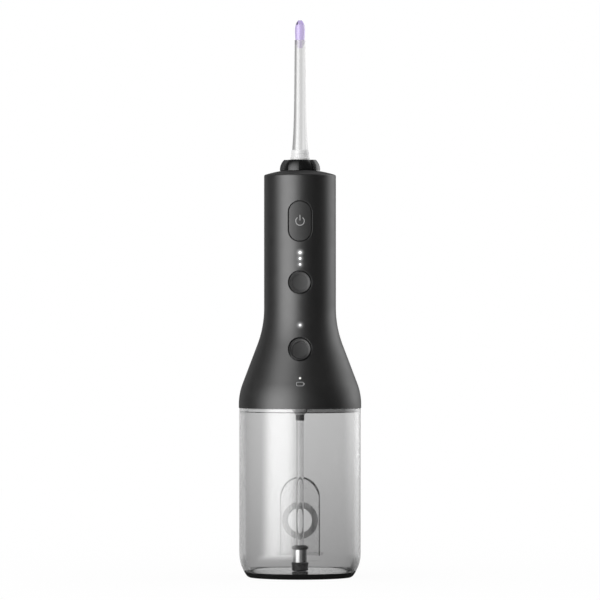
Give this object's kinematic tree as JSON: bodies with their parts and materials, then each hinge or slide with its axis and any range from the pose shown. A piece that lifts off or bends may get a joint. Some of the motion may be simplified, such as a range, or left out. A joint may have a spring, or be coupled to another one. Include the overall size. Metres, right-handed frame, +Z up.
{
  "type": "cordless water flosser",
  "caption": "Cordless oral irrigator: flared handle with push buttons and a turning jet nozzle on a smoky pull-off water reservoir with a hinged fill door and a weighted suction hose.",
  "frame": {"origin": "centre of the foot's flat underside", "axes": "+Z up along the handle's axis to the nozzle, -Y is the front with the buttons, +X to the viewer's right"},
  "size_m": [0.0666, 0.0664, 0.3024],
  "materials": {
    "smoky_clear": "polished smoky transparent",
    "pale_clear": "polished pale smoky transparent",
    "frosted_silicone": "translucent matte",
    "clear_plastic": "polished transparent",
    "clear_silicone": "translucent satin",
    "purple_soft": "translucent soft satin",
    "white_plastic": "semi-gloss",
    "black_satin": "fine satin",
    "black_button": "fine satin",
    "black_knob": "satin",
    "black_plastic": "satin",
    "dark_plastic": "satin",
    "grey_plastic": "satin",
    "natural_plastic": "satin",
    "black_rubber": "matte",
    "grey_silicone": "matte",
    "red_silicone": "matte",
    "white_light": "lit diffuser",
    "warm_light": "lit diffuser",
    "led_white": "semi-gloss",
    "steel_pin": "ground",
    "steel_clip": "spring steel",
    "polished_steel": "polished",
    "zinc_screw": "zinc plated",
    "motor_can": "nickel plated",
    "socket_metal": "plated",
    "brass_gear": "cut",
    "board_green": "solder mask",
    "switch_black": "moulded",
    "cell_wrap": "shrink film"
  },
  "bodies": {
    "reservoir": {"reservoir_shell": "smoky_clear", "foot_pad": "black_rubber", "door_hinge_pin": "clear_plastic"},
    "fill_door": {"fill_door": "pale_clear", "door_gasket": "frosted_silicone"},
    "handle": {"handle_shell": "black_satin", "intensity_lights": "white_light", "mode_light": "white_light", "battery_light": "warm_light", "suction_port": "grey_plastic", "suction_hose": "clear_silicone", "hose_sleeve": "black_plastic", "sinker_cap": "black_plastic", "sinker": "polished_steel", "strainer": "black_plastic", "pump_deck": "dark_plastic", "deck_seal": "grey_silicone", "deck_screws": "zinc_screw", "chassis": "natural_plastic", "circuit_board": "board_green", "key_switches": "switch_black", "led_chips": "led_white", "button_seals": "grey_silicone", "battery_cell": "cell_wrap", "charge_socket": "socket_metal", "motor": "motor_can", "motor_endcap": "black_plastic", "gear_axle": "steel_pin", "pump_barrel": "natural_plastic", "inlet_valve": "red_silicone", "outlet_valve": "red_silicone", "outlet_hose": "clear_silicone", "outlet_fitting": "natural_plastic", "spigot_seal": "black_rubber"},
    "power_button": {"power_button": "black_button"},
    "intensity_button": {"intensity_button": "black_button"},
    "mode_button": {"mode_button": "black_button"},
    "charge_cover": {"charge_cover": "black_rubber"},
    "knob": {"nozzle_knob": "black_knob", "knob_clip": "steel_clip"},
    "nozzle": {"nozzle_base": "white_plastic", "nozzle_tube": "clear_plastic", "nozzle_tip": "purple_soft"},
    "drive_gear": {"drive_gear": "natural_plastic"},
    "pinion": {"motor_pinion": "brass_gear", "motor_shaft": "steel_pin"},
    "connecting_rod": {"connecting_rod": "natural_plastic"},
    "piston": {"piston": "natural_plastic", "piston_seal": "black_rubber"}
  },
  "joints": [
    {"name": "handle_lift", "type": "slide", "parent": "reservoir", "child": "handle", "axis": [0, 0, 1], "range_m": [0, 0.1]},
    {"name": "fill_door_swing", "type": "hinge", "parent": "reservoir", "child": "fill_door", "pos_m": [0, 0.02909, 0.0114], "axis": [-1, 0, 0], "range_deg": [0, 90]},
    {"name": "power_press", "type": "slide", "parent": "handle", "child": "power_button", "axis": [0, 1, 0], "range_m": [0, 0.0006], "stiffness_N_per_m": 2500, "springref_m": -0.0003},
    {"name": "intensity_press", "type": "slide", "parent": "handle", "child": "intensity_button", "axis": [0, 1, 0], "range_m": [0, 0.0006], "stiffness_N_per_m": 2500, "springref_m": -0.0003},
    {"name": "mode_press", "type": "slide", "parent": "handle", "child": "mode_button", "axis": [0, 1, 0], "range_m": [0, 0.0006], "stiffness_N_per_m": 2500, "springref_m": -0.0003},
    {"name": "charge_cover_swing", "type": "hinge", "parent": "handle", "child": "charge_cover", "pos_m": [0, 0.02752, 0.1114], "axis": [-1, 0, 0], "range_deg": [0, 100]},
    {"name": "knob_turn", "type": "hinge", "parent": "handle", "child": "knob", "pos_m": [0, 0, 0.2235], "axis": [0, 0, 1], "continuous": true},
    {"name": "nozzle_pull", "type": "slide", "parent": "knob", "child": "nozzle", "axis": [0, 0, 1], "range_m": [0, 0.018]},
    {"name": "gear_turn", "type": "hinge", "parent": "handle", "child": "drive_gear", "pos_m": [0, 0.015, 0.1086], "axis": [0, 0, 1], "continuous": true},
    {"name": "pinion_turn", "type": "hinge", "parent": "handle", "child": "pinion", "pos_m": [0, 0.0035, 0.1086], "axis": [0, 0, 1], "continuous": true},
    {"name": "rod_turn", "type": "hinge", "parent": "drive_gear", "child": "connecting_rod", "pos_m": [0, 0.0135, 0.1006], "axis": [0, 0, 1], "continuous": true},
    {"name": "piston_stroke", "type": "slide", "parent": "handle", "child": "piston", "axis": [0, 1, 0], "range_m": [0, 0.003]}
  ],
  "couplings": [
    {"joint": "pinion_turn", "follows": "gear_turn", "ratio": -3.6},
    {"joint": "rod_turn", "follows": "gear_turn", "ratio": -1}
  ]
}
